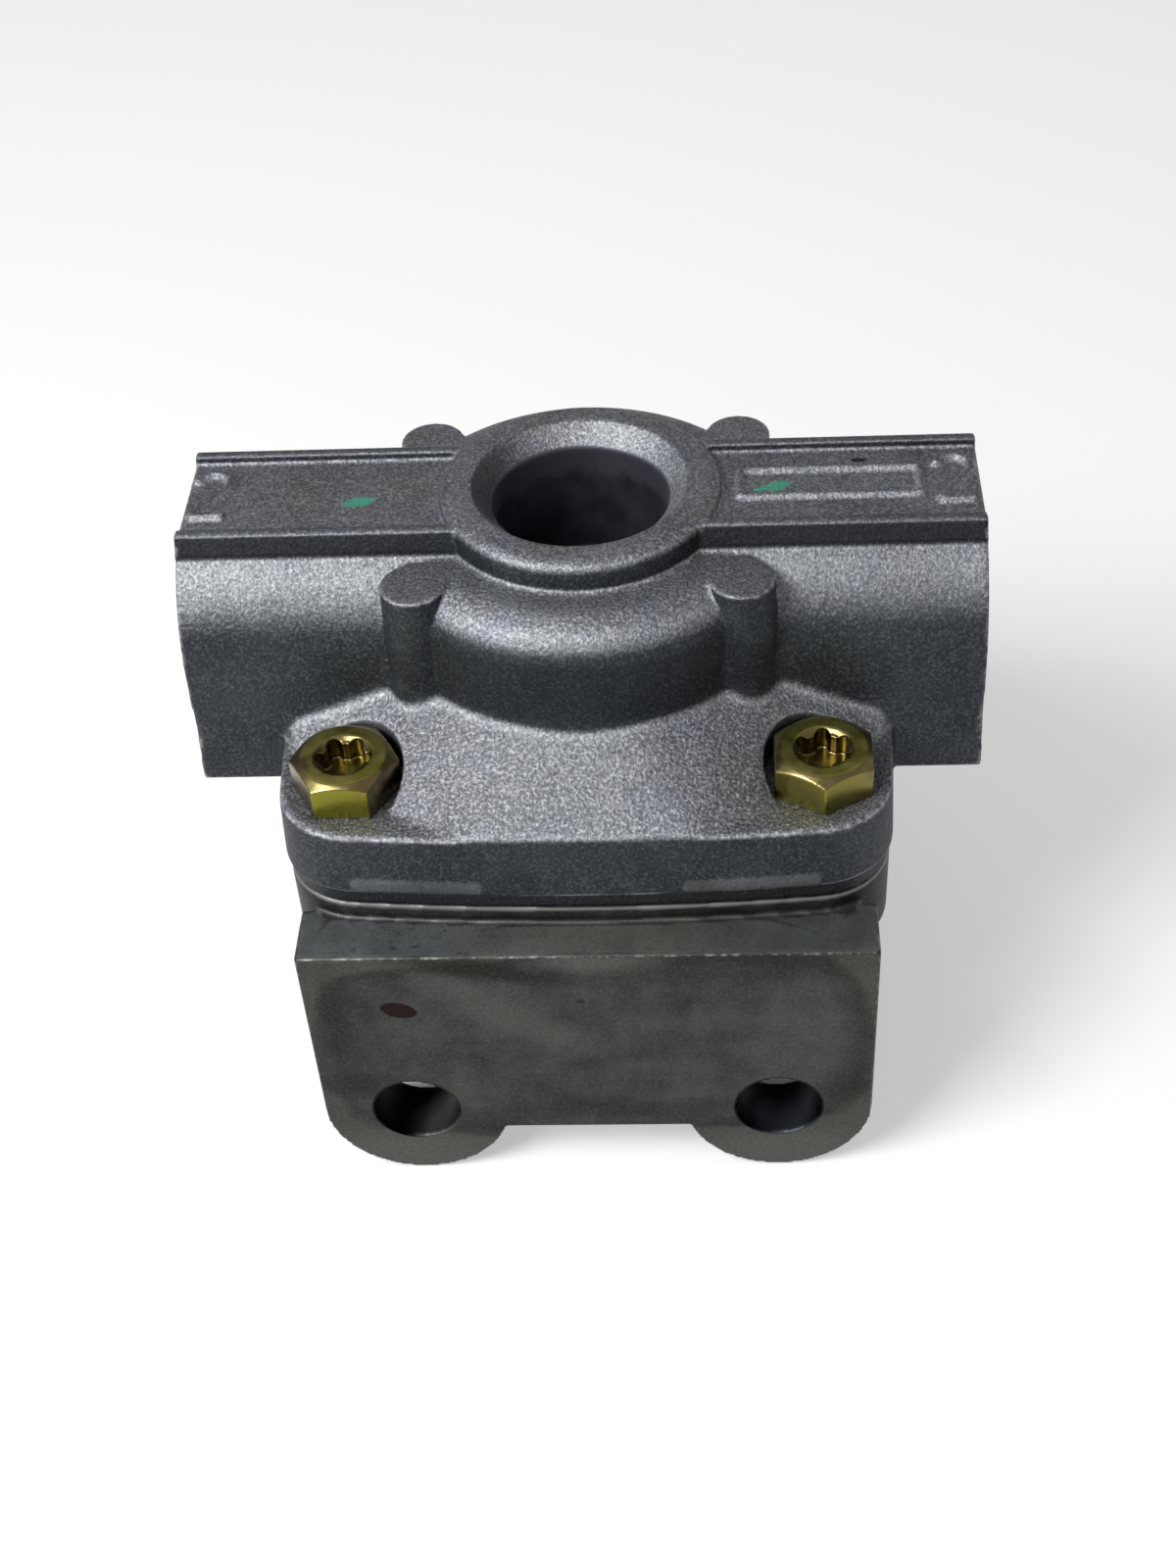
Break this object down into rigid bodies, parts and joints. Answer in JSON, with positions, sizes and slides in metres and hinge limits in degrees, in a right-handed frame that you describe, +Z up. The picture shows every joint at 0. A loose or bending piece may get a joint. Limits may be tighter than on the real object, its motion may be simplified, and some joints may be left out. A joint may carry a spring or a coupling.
{
  "type": "quick exhaust valve",
  "caption": "Air brake quick exhaust valve: die-cast body with a supply port on top and a delivery port at each end, over a cover with exhaust port and two-hole mounting bracket.",
  "frame": {"origin": "midway between the two bracket holes, on the flat mounting face of the bracket", "axes": "+X along the delivery ports, -Y out of the mounting face, +Z up along the supply port"},
  "size_m": [0.0932, 0.0744, 0.0759],
  "materials": {
    "cast_aluminium_body": "blasted die casting",
    "cast_aluminium_cover": "dark stained die casting",
    "diaphragm_rubber": "moulded rubber",
    "seal_rubber": "moulded rubber",
    "yellow_zinc_steel": "yellow zinc plated steel"
  },
  "bodies": {
    "housing": {"body": "cast_aluminium_body", "cover": "cast_aluminium_cover", "seal_ring": "seal_rubber", "cap_screws": "yellow_zinc_steel"},
    "diaphragm": {"diaphragm": "diaphragm_rubber"}
  },
  "joints": [
    {"name": "diaphragm_lift", "type": "slide", "parent": "housing", "child": "diaphragm", "axis": [0, 0, 1], "range_m": [0, 0.0009]}
  ]
}
